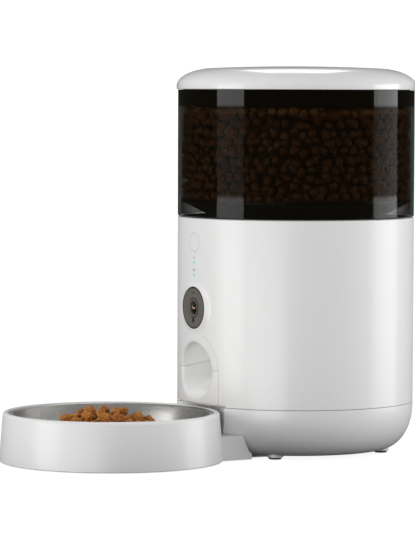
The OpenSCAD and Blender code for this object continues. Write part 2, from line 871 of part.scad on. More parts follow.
module hopper_funnel() {
    color([0.25, 0.23, 0.2, 0.7]) place_tower() difference() {
        union() {
            rotate_extrude() polygon([
                [chamber_r, cup_floor], [chamber_r, funnel_low], [hopper_in - 0.1, funnel_high],
                [hopper_in - 0.1, funnel_high - 2.4], [chamber_r + chamber_wall + 0.4, funnel_low - 2.4],
                [chamber_r + chamber_wall, funnel_low - 4], [chamber_r + chamber_wall, cup_bottom],
                [0, cup_bottom], [0, cup_floor]
            ]);
            // baffle over the outlet
            intersection() {
                front_sector(chamber_r + 1, 40, funnel_low - 1.4, funnel_low + 0.6);
                ring(chamber_r + 1, 16, funnel_low - 2, funnel_low + 1);
            }
        }
        block([-outlet_half, -outlet_out, cup_bottom - 1], [outlet_half, -outlet_in, cup_floor + 1]);
        translate([0, 0, cup_bottom - 1]) cylinder(r = 7.6, h = 5);
    }
}

module outlet_wiper() {
    color("dimgray") place_tower() for (s = [-1, 1])
        rotate([0, 0, -90 + s * 36]) block([18, -0.6, vane_top + 0.3], [52, 0.6, funnel_low - 1.4]);
}

module rotor_hub() {
    color("silver") place_tower() difference() {
        union() {
            translate([0, 0, cup_floor + 0.6]) cylinder(r = 12, h = vane_top - cup_floor - 0.6);
            translate([0, 0, vane_top]) cylinder(r1 = 12, r2 = 6, h = 4);
        }
        translate([0, 0, cup_floor - 1]) cylinder(r = 4.25, h = 15.6, $fn = 6);
    }
}

module rotor_vanes() {
    color("dimgray") place_tower() {
        ring(14, 12.02, cup_floor + 1, vane_top);
        for (i = [0 : vanes - 1]) rotate([0, 0, 360 * i / vanes])
            block([13.5, -1, cup_floor + 1], [chamber_r - 1.2, 1, vane_top]);
    }
}

module stirrer() {
    color("silver") place_tower() {
        translate([0, 0, vane_top + 4]) cylinder(r = 5.5, h = 10);
        translate([0, 0, vane_top + 14]) cylinder(r1 = 5.5, r2 = 2, h = 3);
        for (i = [0 : 2]) rotate([0, 0, 120 * i + 30])
            block([4, -1.5, vane_top + 7], [30, 1.5, vane_top + 11]);
    }
}

// ------------------------------------------------------------------- lid

lid_bottom = hopper_top + gap;
lid_edge = 68;

// height of the lid's outside above its lower edge, at a radius
function lid_rise(r) =
    let (crown = 3, side = 3.2, arch_h = lid_h - crown - side, span = lid_r - lid_edge)
    side + crown * (1 - pow(r / lid_r, 2))
        + arch_h * (r <= lid_edge ? 1 : sqrt(max(0, 1 - pow((r - lid_edge) / span, 2))));

module lid_shell() {
    t = 2.2;
    // the rounded shoulder as even steps of its angle
    shoulder = [for (i = [0 : 14]) lid_edge + (lid_r - lid_edge) * sin(90 * i / 14)];
    crown_r = [for (i = [0 : 5]) lid_edge * i / 6];
    outer = [for (r = concat(crown_r, shoulder)) [r, lid_rise(r)]];
    inner = [for (r = concat(crown_r, shoulder)) [r * (lid_r - t) / lid_r, lid_rise(r) - t]];
    color("white") place_tower() translate([0, 0, lid_bottom]) {
        rotate_extrude() polygon(concat(
            outer, [[lid_r, 0.5], [lid_r - 0.5, 0], [lid_r - t, 0]],
            [for (i = [len(inner) - 1 : -1 : 0]) inner[i]]
        ));
        // bosses for the liner's screws
        for (i = [0 : 3]) rotate([0, 0, 45 + 90 * i]) translate([60, 0, 3]) difference() {
            cylinder(r = 3.5, h = lid_rise(60) - t - 2.6);
            translate([0, 0, -1]) cylinder(r = 1.2, h = 8);
        }
    }
}

module lid_liner() {
    color([0.12, 0.12, 0.12]) place_tower() difference() {
        union() {
            // plate under the lid and the skirt that plugs into the hopper
            ring(lid_r - 2.8, 31, lid_bottom + 0.2, lid_bottom + 2.8);
            ring(hopper_in - 1, hopper_in - 3, lid_bottom - 8, lid_bottom + 0.4);
            ring(hopper_in - 0.6, hopper_in - 2.8, lid_bottom - 8, lid_bottom - 6.6);
            // desiccant cup
            ring(33, 31, lid_bottom - 14, lid_bottom + 2.8);
            translate([0, 0, lid_bottom + 1.2]) cylinder(r = 32, h = 1.6);
        }
        for (i = [0 : 3]) rotate([0, 0, 45 + 90 * i]) translate([60, 0, lid_bottom - 1]) cylinder(r = 1.6, h = 5);
    }
}

module lid_seal() {
    color("lightgray") place_tower() {
        ring(hopper_in - 0.2, hopper_in - 0.98, lid_bottom - 5.6, lid_bottom - 4.4);
        ring(hopper_in - 0.2, hopper_in - 0.98, lid_bottom - 3.6, lid_bottom - 2.4);
        ring(hopper_in - 0.6, hopper_in - 0.98, lid_bottom - 6.4, lid_bottom - 1.6);
    }
}

module lid_screws() {
    color("silver") place_tower() for (i = [0 : 3]) rotate([0, 0, 45 + 90 * i])
        translate([60, 0, lid_bottom - 1.4]) difference() {
            union() {
                cylinder(r = 2.6, h = 1.6);
                cylinder(r = 1.2, h = 10);
            }
            for (a = [0, 90]) rotate([0, 0, a]) block([-1.6, -0.3, -1], [1.6, 0.3, 0.9]);
        }
}

module desiccant_bag() {
    color("white") place_tower() translate([0, 0, lid_bottom - 10]) {
        cylinder(r1 = 22, r2 = 28, h = 3);
        translate([0, 0, 3]) cylinder(r = 28, h = 5);
        translate([0, 0, 8]) cylinder(r1 = 28, r2 = 20, h = 2.6);
    }
}

module desiccant_cap() {
    color("gainsboro") place_tower() translate([0, 0, lid_bottom - 14.2]) difference() {
        union() {
            translate([0, 0, -1.8]) cylinder(r = 33, h = 1.8);
            ring(30.6, 28.8, -0.2, 4);
            // grip bar
            block([-22, -2, -6], [22, 2, -1.6]);
        }
        for (i = [0 : 11]) rotate([0, 0, 15 + 30 * i])
            block([13, -1, -3], [25, 1, 1]);
    }
}

// ------------------------------------------------------------------ bowl

module bowl_holder() {
    rim_r = 2.5;
    ledge_z = 37.2;
    outer = concat(
        [[0, 0.8], [holder_r - 0.4, 0.8], [holder_r, 1.4], [holder_r - 0.7, 14], [holder_r - 1.5, 26],
         [holder_r - 2.2, 33.5]],
        arc(holder_r - 2.4 - rim_r, holder_h - rim_r, rim_r, 0, 90, 6),
        arc(holder_r - 5.6, holder_h - 1.2, 1.2, 90, 180, 4)
    );
    inner = [
        [holder_r - 7, ledge_z], [holder_r - 9.2, ledge_z], [holder_r - 9.2, ledge_z - 2.2],
        [holder_r - 5.4, ledge_z - 2.2], [holder_r - 4, ledge_z - 6], [holder_r - 3, 14], [holder_r - 2.6, 2.8],
        [0, 2.8]
    ];
    color("white") difference() {
        union() {
            place_bowl() rotate_extrude($fn = 180) polygon(concat(outer, inner));
            place_tower() tongue();
        }
        place_bowl() pad_places() translate([0, 0, -1]) cylinder(r = 5.1, h = 2.9);
    }
}

// space around the foot of the base that the bridge keeps clear
module foot_room(d) {
    rotate_extrude() polygon([
        [0, -1], [85.6 + d, -1], [85.6 + d, 5], [88 + d, 7.7], [90 + d, 12.9], [92 + d, 19.6],
        [95.5 + d, base_top + 5], [0, base_top + 5]
    ]);
}

// bridge between the holder and the tower
module tongue() {
    half = 48.5;
    top = 19.6;
    difference() {
        union() {
            difference() {
                block([-half, -130, 0.8], [half, -60, top]);
                foot_room(0);
            }
            difference() {
                block([-half, -130, 0.8], [half, -60, top]);
                recess(recess_r - 0.5, 0, 30);
                block([-100, -100, -1], [100, -60, 30]);
            }
            intersection() {
                block([-half, -100, 0.8], [half, -70, top]);
                recess(recess_r - 0.5, 0, 30);
            }
            // lip that slides under the base
            block([-38, -80, 0.8], [38, -46, 2.1]);
        }
        recess(holder_r - 1.6, -1, 50);
        difference() {
            block([-half + 2.2, -140, 2.1], [half - 2.2, -50, top - 2.2]);
            foot_room(2.2);
            recess(holder_r + 1.2, -1, 50);
        }
    }
}

module pad_places() {
    for (a = [45 : 90 : 315]) rotate([0, 0, a]) translate([70, 0, 0]) children();
}

module holder_pads() {
    color("dimgray") place_bowl() pad_places() cylinder(r = 5, h = 1.8);
}

// the bowl's sheet from its middle to its lip, on one side of the sheet
function bowl_path(lower) =
    let (draft = 18, lip_z = 38.2, lip_c = 78, lip_r = 2, floor_z = 6, floor_r = 10,
         end_r = lip_c - lip_r * cos(draft), end_z = lip_z - lip_r + lip_r * sin(draft),
         start_z = floor_z + floor_r - floor_r * sin(draft),
         floor_c = end_r - (end_z - start_z) * tan(draft) - floor_r * cos(draft))
    concat(
        [[0, floor_z - lower]],
        arc(floor_c, floor_z + floor_r, floor_r + lower, -90, -draft, 8),
        arc(lip_c, lip_z - lip_r, lip_r - lower, 180 - draft, 90, 4),
        [[79.7, lip_z - lower]]
    );

module steel_bowl() {
    under = bowl_path(sheet);
    color("silver") place_bowl() rotate_extrude($fn = 180) polygon(concat(
        bowl_path(0), [for (i = [len(under) - 1 : -1 : 0]) under[i]]
    ));
}

// ------------------------------------------------------------------ draw

base_shell();
rubber_feet();
battery_door();
door_screw();
battery_cells();
battery_contacts();
case_screws();
body_shell();
outlet_arch();
chute_cover();
chute_duct();
drop_sensors();
chassis_frame();
hopper_deck();
gearbox_case();
gearbox_cover();
shaft_bush();
idler_axle();
drive_gear();
idler_gear();
motor_pinion();
feed_motor();
motor_leads();
main_board();
front_board();
power_inlet();
inlet_pin();
speaker();
feed_button();
led_light_pipes();
camera_bezel();
camera_face();
lens_ring();
camera_lens();
light_sensor();
camera_module();
hopper_shell();
hopper_funnel();
outlet_wiper();
rotor_hub();
rotor_vanes();
stirrer();
lid_shell();
lid_liner();
lid_seal();
lid_screws();
desiccant_bag();
desiccant_cap();
bowl_holder();
holder_pads();
steel_bowl();
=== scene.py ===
import json
import math
import random

import bmesh
import bpy
import numpy as np
from mathutils import Matrix, Vector, noise


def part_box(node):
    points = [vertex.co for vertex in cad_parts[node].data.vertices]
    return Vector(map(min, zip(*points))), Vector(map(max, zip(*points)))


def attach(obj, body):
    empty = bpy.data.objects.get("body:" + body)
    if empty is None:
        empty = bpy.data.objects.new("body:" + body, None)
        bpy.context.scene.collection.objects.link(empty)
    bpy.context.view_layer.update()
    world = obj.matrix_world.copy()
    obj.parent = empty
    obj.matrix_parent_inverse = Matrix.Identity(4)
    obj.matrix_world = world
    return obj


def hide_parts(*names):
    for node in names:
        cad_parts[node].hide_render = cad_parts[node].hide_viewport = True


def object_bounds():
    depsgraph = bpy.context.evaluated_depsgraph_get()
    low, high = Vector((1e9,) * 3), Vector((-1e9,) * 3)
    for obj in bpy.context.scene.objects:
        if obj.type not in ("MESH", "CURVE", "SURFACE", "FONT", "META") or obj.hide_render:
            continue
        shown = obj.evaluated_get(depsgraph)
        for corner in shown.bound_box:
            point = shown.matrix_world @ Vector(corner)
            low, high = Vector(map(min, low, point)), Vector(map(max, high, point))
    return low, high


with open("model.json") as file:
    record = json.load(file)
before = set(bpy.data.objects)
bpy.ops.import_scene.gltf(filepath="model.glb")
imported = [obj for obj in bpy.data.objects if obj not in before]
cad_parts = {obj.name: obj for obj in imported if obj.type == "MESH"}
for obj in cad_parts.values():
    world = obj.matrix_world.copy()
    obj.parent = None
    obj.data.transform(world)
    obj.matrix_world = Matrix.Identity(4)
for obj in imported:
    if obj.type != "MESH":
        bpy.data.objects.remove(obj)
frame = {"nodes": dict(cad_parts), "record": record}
cad_low, cad_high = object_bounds()
nodes = frame["nodes"]
MM = 0.001

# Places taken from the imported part, in millimetres: the tower, the bowl's axis and the camera's round face.
body_low, body_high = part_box("body_shell")
bowl_low, bowl_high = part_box("steel_bowl")
face_low, face_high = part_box("camera_face")
TOWER_R = body_high.x / MM
TOWER_Y = (body_low.y + body_high.y) / 2 / MM
FRONT_Y = TOWER_Y - TOWER_R
BODY_LOW = body_low.z / MM
BOWL_Y = (bowl_low.y + bowl_high.y) / 2 / MM
CAMERA_Z = (face_low.z + face_high.z) / 2 / MM
FACE_R = (face_high.x - face_low.x) / 2 / MM
FACE_Y = face_low.y / MM

# The stored food behind the hopper's wall: its middle height and half its depth, in millimetres.
FOOD_MIDDLE, FOOD_HALF = 242.0, 36.0


# ---------------------------------------------------------------- node and object helpers

def linked(name, data):
    """A new object in the scene."""
    obj = bpy.data.objects.new(name, data)
    bpy.context.scene.collection.objects.link(obj)
    return obj


def add(tree, kind, inputs=(), **settings):
    """A node with its settings; an input is linked if it is a socket, and set otherwise."""
    node = tree.nodes.new(kind)
    for key, value in settings.items():
        setattr(node, key, value)
    for key, value in dict(inputs).items():
        if isinstance(value, bpy.types.NodeSocket):
            tree.links.new(value, node.inputs[key])
        else:
            node.inputs[key].default_value = value
    return node


def maths(tree, operation, a, b=0.0):
    """One step of arithmetic."""
    return add(tree, "ShaderNodeMath", {0: a, 1: b}, operation=operation).outputs[0]


def remap(tree, value, from_min, from_max, to_min=0.0, to_max=1.0):
    """Maps one range of a value to another, held at both ends."""
    return add(tree, "ShaderNodeMapRange", {
        "Value": value, "From Min": from_min, "From Max": from_max, "To Min": to_min, "To Max": to_max}).outputs[0]


def mixed(tree, factor, a, b, blend="MIX"):
    """Blends two colours."""
    inputs = {"Factor": factor, 6: a, 7: b}
    return add(tree, "ShaderNodeMix", inputs, data_type="RGBA", blend_type=blend).outputs[2]


def ramp(tree, value, stops):
    """A colour from a value, through stops of (position, colour)."""
    node = add(tree, "ShaderNodeValToRGB", {"Fac": value})
    elements = node.color_ramp.elements
    while len(elements) < len(stops):
        elements.new(0.5)
    for element, (position, color) in zip(elements, stops):
        element.position, element.color = position, (*color, 1)
    return node.outputs["Color"]


def object_place(tree):
    """A point's place in the part's frame, in metres."""
    return add(tree, "ShaderNodeTexCoord").outputs["Object"]


def parts_of(tree, vector):
    """A vector's X, Y and Z sockets."""
    return add(tree, "ShaderNodeSeparateXYZ", {0: vector}).outputs


def flat_length(tree, a, b):
    """The length of a flat vector with these two parts."""
    flat = add(tree, "ShaderNodeCombineXYZ", {"X": a, "Y": b}).outputs[0]
    return add(tree, "ShaderNodeVectorMath", {0: flat}, operation="LENGTH").outputs["Value"]


# ---------------------------------------------------------------- camera and light

CAMERA_PLACE = (2.18887, -1.31492, 0.29056)
CAMERA_LENS, CAMERA_SENSOR = 215.02, 36.0
CAMERA_TURNS = (57.485, 1.564, 3.211, 0.206)  # azimuth, yaw, pitch down and roll, in degrees
LIGHT_TARGET_Z = 0.15

# Each light: its angle from the camera's direction (positive to the camera's right), elevation, distance, width,
# height, radiance, and whether it lights surfaces as well as showing in their gloss.
LIGHTS = {
    "soft_front": (-65.4, 4, 1.7, 0.917, 0.9, 3.0, True),
    "sheen_front": (-60, -10.5, 1.75, 0.8, 0.5, 3.2, False),
    "sheen_mid": (-27, -10.5, 1.8, 1.2, 0.5, 4.4, False),
    "soft_back": (96, 4, 1.7, 1.05, 0.9, 3.4, True),
    "sheen_back": (98, 4, 1.75, 0.9, 0.9, 0.8, False),
    "soft_lid": (180, 42.5, 2.2, 0.50, 0.80, 3.0, False),
}

# The room's grey levels by a direction's height, from -1 straight down to 1 straight up.
SOFT_ROOM = ((-1, 0.42), (-0.3, 0.64), (0, 1.0), (0.35, 1.0), (1, 0.56))
GLOSS_ROOM = ((-1, 0.03), (0.04, 0.03), (0.14, 0.22), (0.5, 0.40), (1, 0.42))
BACKGROUND = (1.25, 1.25, 1.25, 1)
ROOM_STRENGTH = 0.885


def make_camera():
    """A level camera at its azimuth, then yawed, pitched down and rolled. Returns the azimuth in radians."""
    data = bpy.data.cameras.new("camera")
    data.lens, data.sensor_width = CAMERA_LENS, CAMERA_SENSOR
    data.clip_start, data.clip_end = 0.1, 50.0
    cam = linked("camera", data)
    azimuth, yaw, pitch, roll = (math.radians(v) for v in CAMERA_TURNS)
    ahead = Matrix.Rotation(yaw, 3, "Z") @ Vector((-math.sin(azimuth), math.cos(azimuth), 0))
    right = ahead.cross(Vector((0, 0, 1)))
    look = ahead * math.cos(pitch) - Vector((0, 0, math.sin(pitch)))
    up = right.cross(look)
    x_axis = right * math.cos(roll) + up * math.sin(roll)
    y_axis = up * math.cos(roll) - right * math.sin(roll)
    turned = Matrix((x_axis, y_axis, -look)).transposed()
    cam.matrix_world = Matrix.Translation(CAMERA_PLACE) @ turned.to_4x4()
    bpy.context.scene.camera = cam
    return azimuth


def area_light(name, width, height, radiance):
    """A rectangular light whose face has a given radiance."""
    data = bpy.data.lights.new(name, "AREA")
    data.shape = "RECTANGLE"
    data.size, data.size_y = width, height
    data.energy = radiance * width * height * math.pi
    return linked(name, data)


def softbox(name, azimuth, elevation, distance, width, height, radiance, diffuse):
    """An area light aimed at the tower."""
    light = area_light(name, width, height, radiance)
    e = math.radians(elevation)
    out = Vector((math.sin(azimuth) * math.cos(e), -math.cos(azimuth) * math.cos(e), math.sin(e)))
    light.location = Vector((0, TOWER_Y * MM, LIGHT_TARGET_Z)) + out * distance
    light.rotation_mode = "QUATERNION"
    light.rotation_quaternion = out.to_track_quat("Z", "Y")
    light.visible_diffuse = diffuse


def room_ramp(tree, rise, room):
    return ramp(tree, rise, [((z + 1) / 2, (level, level, level)) for z, level in room])


def make_world():
    """Even light from all round; gloss sees a room that is dark below eye level, and the background is white."""
    world = bpy.data.worlds.new("studio")
    world.use_nodes = True
    tree = world.node_tree
    sky = tree.nodes["Background"]
    direction = add(tree, "ShaderNodeTexCoord").outputs["Generated"]
    rise = remap(tree, parts_of(tree, direction)["Z"], -1.0, 1.0)
    path = add(tree, "ShaderNodeLightPath").outputs
    room = mixed(tree, path["Is Glossy Ray"], room_ramp(tree, rise, SOFT_ROOM), room_ramp(tree, rise, GLOSS_ROOM))
    seen = mixed(tree, path["Is Camera Ray"], room, BACKGROUND)
    tree.links.new(seen, sky.inputs["Color"])
    sky.inputs["Strength"].default_value = ROOM_STRENGTH
    bpy.context.scene.world = world


camera_azimuth = make_camera()
make_world()
for light_name, (light_side, *measures) in LIGHTS.items():
    softbox(light_name, camera_azimuth + math.radians(light_side), *measures)
bpy.context.scene.view_settings.view_transform = "Standard"


# ---------------------------------------------------------------- materials

NOISE_LOW, NOISE_HIGH = 0.3, 0.7  # the range in which a noise texture mostly lies
WHITE = (0.84, 0.84, 0.835)
INK = (0.012, 0.012, 0.012, 1.0)
PAINTED_GLINT_TAN = (0.52, 0.34, 0.25, 1.0)

# Stored food's colour is painted warmer and lighter over the last few millimetres of its height: painted light for
# the light that comes in under the lid.
LIT_FROM, LIT_DEPTH, PAINTED_LIT_COLOR = FOOD_MIDDLE + 28.8, 3.2, (1.0, 0.46, 0.11, 1.0)
# How far the painted shade in the food's creases reaches, in millimetres.
PAINTED_SHADE_REACH = 6.0


def shader_of(m):
    return m.node_tree, m.node_tree.nodes["Principled BSDF"]


def principled(name):
    m = bpy.data.materials.new(name)
    m.use_nodes = True
    return m, *shader_of(m)


def noise_of(tree, grain, detail=3.0, vector=None):
    """A noise texture whose lumps are about grain millimetres across, fixed to the part's frame."""
    if vector is None:
        vector = object_place(tree)
    inputs = {"Vector": vector, "Scale": 1000.0 / grain, "Detail": detail}
    return add(tree, "ShaderNodeTexNoise", inputs).outputs["Fac"]


def spread(tree, value, low, high):
    """Maps a noise's usual range to a range."""
    return remap(tree, value, NOISE_LOW, NOISE_HIGH, low, high)


def tinted(tree, value, dark, light):
    """Maps a noise's usual range to the colours between two."""
    return ramp(tree, value, ((NOISE_LOW, dark), (NOISE_HIGH, light)))


def raised(tree, bsdf, height, depth):
    """Relief from a texture, depth in millimetres."""
    bump = add(tree, "ShaderNodeBump", {"Height": height, "Strength": 1.0, "Distance": depth * MM})
    tree.links.new(bump.outputs[0], bsdf.inputs["Normal"])


def moulded(name, color, rough, tint=0.03, cloud=22.0, grain=0.5, depth=0.004, rough_spread=0.05, **sockets):
    """Moulded plastic or rubber: a faint cloudiness, a fine grain in the surface and uneven gloss."""
    m, tree, bsdf = principled(name)
    clouds = noise_of(tree, cloud)
    fine = noise_of(tree, grain)
    dark = tuple(c * (1 - tint) for c in color)
    light = tuple(min(1.0, c * (1 + tint)) for c in color)
    tree.links.new(tinted(tree, clouds, dark, light), bsdf.inputs["Base Color"])
    tree.links.new(spread(tree, clouds, rough - rough_spread, rough + rough_spread), bsdf.inputs["Roughness"])
    raised(tree, bsdf, fine, depth)
    for key, value in sockets.items():
        bsdf.inputs[key.replace("_", " ")].default_value = value
    return m


def metal(name, color, rough, axis_y=None, grain=0.25, depth=0.003):
    """Metal with fine turned or brushed lines: rings about a vertical axis if axis_y is given."""
    m, tree, bsdf = principled(name)
    bsdf.inputs["Metallic"].default_value = 1.0
    place = object_place(tree)
    if axis_y is not None:
        moved = add(tree, "ShaderNodeVectorMath", {0: place, 1: (0, -axis_y * MM, 0)}).outputs[0]
        parts = parts_of(tree, moved)
        radius = flat_length(tree, parts["X"], parts["Y"])
        around = maths(tree, "MULTIPLY", maths(tree, "ARCTAN2", parts["Y"], parts["X"]), 0.0012)
        place = add(tree, "ShaderNodeCombineXYZ", {"X": radius, "Y": around, "Z": parts["Z"]}).outputs[0]
    lines = noise_of(tree, grain, 4.0, place)
    clouds = noise_of(tree, 14.0)
    dark = tuple(c * 0.93 for c in color)
    light = tuple(min(1, c * 1.05) for c in color)
    tree.links.new(tinted(tree, clouds, dark, light), bsdf.inputs["Base Color"])
    tree.links.new(spread(tree, lines, rough - 0.07, rough + 0.07), bsdf.inputs["Roughness"])
    raised(tree, bsdf, lines, depth)
    return m


def kibble_material(name, dark, light, rough, shade_low, lit=False):
    """Baked crumbly food with painted shade darkening its colour between its lumps, and painted light making it
    warmer near its top if lit is set.
    """
    m, tree, bsdf = principled(name)
    lump = noise_of(tree, 9.0, 2.0)
    crust = noise_of(tree, 1.3, 6.0)
    base = tinted(tree, lump, dark, light)
    if lit:
        # Painted light: the colour turns warmer and lighter towards the food's top.
        high = parts_of(tree, object_place(tree))["Z"]
        base = mixed(tree, remap(tree, high, LIT_FROM * MM, (LIT_FROM + LIT_DEPTH) * MM), base, PAINTED_LIT_COLOR)
    crumbs = mixed(tree, 1.0, base, tinted(tree, crust, (0.55, 0.50, 0.42), (1.0, 1.0, 1.0)), "MULTIPLY")
    # Painted shade: the colour is darkened in the creases between the lumps.
    open_sky = add(tree, "ShaderNodeAmbientOcclusion", {"Distance": PAINTED_SHADE_REACH * MM}, samples=8, only_local=True)
    painted_crease_shade = remap(tree, open_sky.outputs["AO"], 0.2, 0.9, shade_low)
    shaded = add(tree, "ShaderNodeVectorMath", {0: crumbs, "Scale": painted_crease_shade}, operation="SCALE").outputs[0]
    tree.links.new(shaded, bsdf.inputs["Base Color"])
    tree.links.new(spread(tree, crust, rough - 0.1, rough + 0.12), bsdf.inputs["Roughness"])
    raised(tree, bsdf, crust, 0.7)
    return m


def smoked_clear():
    """Smoky clear plastic, tinted mostly in its outer skin and where it is seen edge-on, made opaque and dark above
    the food as painted shade for the space under the lid, and less glossy at the heights of the food."""
    m = moulded("smoked_clear", (0.004, 0.003, 0.0015), 0.035, tint=0.1, cloud=30.0, grain=1.5, depth=0.0004,
                rough_spread=0.01, Specular_IOR_Level=0.042, Coat_Roughness=0.04)
    tree, bsdf = shader_of(m)
    place = object_place(tree)
    flat = add(tree, "ShaderNodeVectorMath", {0: place, 1: (1, 1, 0)}, operation="MULTIPLY").outputs[0]
    axis = (0, TOWER_Y * MM, 0)
    away = add(tree, "ShaderNodeVectorMath", {0: flat, 1: axis}, operation="DISTANCE").outputs["Value"]
    outer, food_top = TOWER_R - 1.2, FOOD_MIDDLE + FOOD_HALF
    skin = remap(tree, away, (outer - 0.2) * MM, outer * MM, 0.94, 0.27)
    facing = add(tree, "ShaderNodeLayerWeight", {"Blend": 0.5}).outputs["Facing"]
    edge = remap(tree, facing, 0.5, 1.0, 1.0, 0.42)
    high = parts_of(tree, place)["Z"]
    # Painted shade: above the food the wall turns opaque and dark, standing for the shade under the lid.
    rim = remap(tree, high, (food_top - 1.5) * MM, (food_top - 0.3) * MM, 1.0, 0.05)
    clear = maths(tree, "MULTIPLY", maths(tree, "MULTIPLY", skin, edge), rim)
    tree.links.new(maths(tree, "SUBTRACT", 1.0, clear), bsdf.inputs["Alpha"])
    off = maths(tree, "ABSOLUTE", maths(tree, "SUBTRACT", high, FOOD_MIDDLE * MM))
    coat_outside_food_band = remap(tree, off, (FOOD_HALF - 2) * MM, (FOOD_HALF + 1) * MM, 0.0, 0.45)
    tree.links.new(coat_outside_food_band, bsdf.inputs["Coat Weight"])
    return m


def face_place(tree):
    """How far a point is to the side of the camera's middle and above it, in metres."""
    parts = parts_of(tree, object_place(tree))
    return parts["X"], maths(tree, "SUBTRACT", parts["Z"], CAMERA_Z * MM)


def camera_grey():
    """Grainy grey with a black rim and a fine dark circle about the lens."""
    rim_start, circle_r = FACE_R - 1.1, 7.6
    m = moulded("camera_grey", (0.135, 0.122, 0.105), 0.5, tint=0.36, cloud=0.9, grain=0.35, depth=0.05,
                rough_spread=0.08)
    tree, bsdf = shader_of(m)
    grain = bsdf.inputs["Base Color"].links[0].from_socket
    radius = flat_length(tree, *face_place(tree))
    rim = remap(tree, radius, rim_start * MM, (rim_start + 0.15) * MM)
    away = maths(tree, "ABSOLUTE", maths(tree, "SUBTRACT", radius, circle_r * MM))
    line = remap(tree, away, 0.3 * MM, 0.5 * MM, 1.0, 0.0)
    ink = maths(tree, "MAXIMUM", rim, line)
    tree.links.new(mixed(tree, ink, grain, INK), bsdf.inputs["Base Color"])
    return m


def lens_with_painted_glint():
    """Black glass with a warm crescent painted into its colour: a painted reflection of the light caught by its
    coating.
    """
    m = moulded("lens_with_painted_glint", (0.004, 0.004, 0.004), 0.06, tint=0.5, cloud=2.5, grain=1.0, depth=0.0,
                rough_spread=0.01, Coat_Weight=0.6, Coat_Roughness=0.04)
    tree, bsdf = shader_of(m)
    glass = bsdf.inputs["Base Color"].links[0].from_socket
    across, high = (maths(tree, "MULTIPLY", v, 1000.0) for v in face_place(tree))
    # Painted reflection: a thin warm crescent across the lens, fixed to the glass.
    past = maths(tree, "MAXIMUM", maths(tree, "SUBTRACT", -0.2, across), 0.0)
    bend = maths(tree, "MULTIPLY", maths(tree, "POWER", past, 1.6), 0.35)
    off = maths(tree, "ABSOLUTE", maths(tree, "SUBTRACT", high, maths(tree, "SUBTRACT", bend, 0.2)))
    near = remap(tree, off, 0.5, 0.95, 1.0, 0.0)
    side = maths(tree, "ABSOLUTE", maths(tree, "ADD", across, 1.0))
    ends = remap(tree, side, 2.6, 3.4, 1.0, 0.0)
    painted_glint_mask = maths(tree, "MULTIPLY", near, ends)
    tree.links.new(mixed(tree, painted_glint_mask, glass, PAINTED_GLINT_TAN), bsdf.inputs["Base Color"])
    return m


pearl = moulded("pearl_white", WHITE, 0.48, tint=0.006, cloud=420.0, grain=0.7, depth=0.0012, rough_spread=0.012,
                Coat_Weight=0.4, Coat_Roughness=0.2)
lid_gloss = moulded("lid_white", WHITE, 0.20, tint=0.006, cloud=420.0, grain=0.7, depth=0.0008, rough_spread=0.012,
                    Coat_Weight=0.3, Coat_Roughness=0.06)
# The served and stored food are one food; the stored copy's darker colours and much darker creases are painted
# shade for the dim inside of the hopper.
served_kibble = kibble_material("served_kibble", (0.52, 0.17, 0.02), (0.92, 0.38, 0.055), 0.65, 0.45)
stored_kibble_painted_shade = kibble_material("stored_kibble_painted_shade", (0.27, 0.080, 0.008), (0.38, 0.135, 0.018), 0.30, 0.04, lit=True)
camera_look = camera_grey()
LOOKS = {
    "white_plastic": pearl,
    "inner_plastic": moulded("inner_white", (0.78, 0.78, 0.77), 0.5),
    "chassis_plastic": moulded("chassis_grey", (0.34, 0.35, 0.36), 0.5, tint=0.06),
    "gear_plastic": moulded("acetal", (0.76, 0.71, 0.60), 0.42, tint=0.04),
    "brass": metal("brass", (0.78, 0.56, 0.25), 0.3),
    "fastener_steel": metal("zinc_steel", (0.60, 0.61, 0.63), 0.3),
    "bowl_steel": metal("satin_steel", (0.53, 0.52, 0.50), 0.30, axis_y=BOWL_Y, grain=0.22, depth=0.004),
    "smoke_plastic": smoked_clear(),
    "smoke_inner": moulded("smoked_funnel", (0.02, 0.017, 0.014), 0.18, tint=0.15, Alpha=0.9),
    "rubber": moulded("black_rubber", (0.022, 0.022, 0.022), 0.75, tint=0.2, cloud=8.0, grain=0.3, depth=0.02),
    "silicone": moulded("grey_silicone", (0.17, 0.17, 0.175), 0.6, tint=0.08),
    "rotor_plastic": moulded("rotor_grey", (0.45, 0.45, 0.46), 0.45, tint=0.05),
    "circuit_board": moulded("solder_mask", (0.012, 0.085, 0.035), 0.35, tint=0.25, cloud=3.0, grain=0.6,
                             depth=0.02),
    "black_plastic": moulded("black_plastic", (0.014, 0.014, 0.015), 0.55, tint=0.2, Specular_IOR_Level=0.25),
    "camera_face": camera_look,
    "lens_ring": camera_look,
    "lens_glass": lens_with_painted_glint(),
    "light_pipe": moulded("teal_lamp", (0.02, 0.45, 0.42), 0.3, tint=0.1, Emission_Color=(0.05, 0.75, 0.70, 1.0),
                          Emission_Strength=0.35),
    "cell_can": moulded("cell_sleeve", (0.05, 0.055, 0.07), 0.35, tint=0.12, cloud=30.0),
    "lead_wire": moulded("red_insulation", (0.42, 0.03, 0.02), 0.45, tint=0.08, cloud=5.0),
    "desiccant_paper": moulded("desiccant_paper", (0.74, 0.73, 0.68), 0.9, tint=0.05, cloud=4.0, grain=0.25,
                               depth=0.05),
}

WELD_DISTANCE = 1e-6
SHARP_ANGLE = math.radians(24)


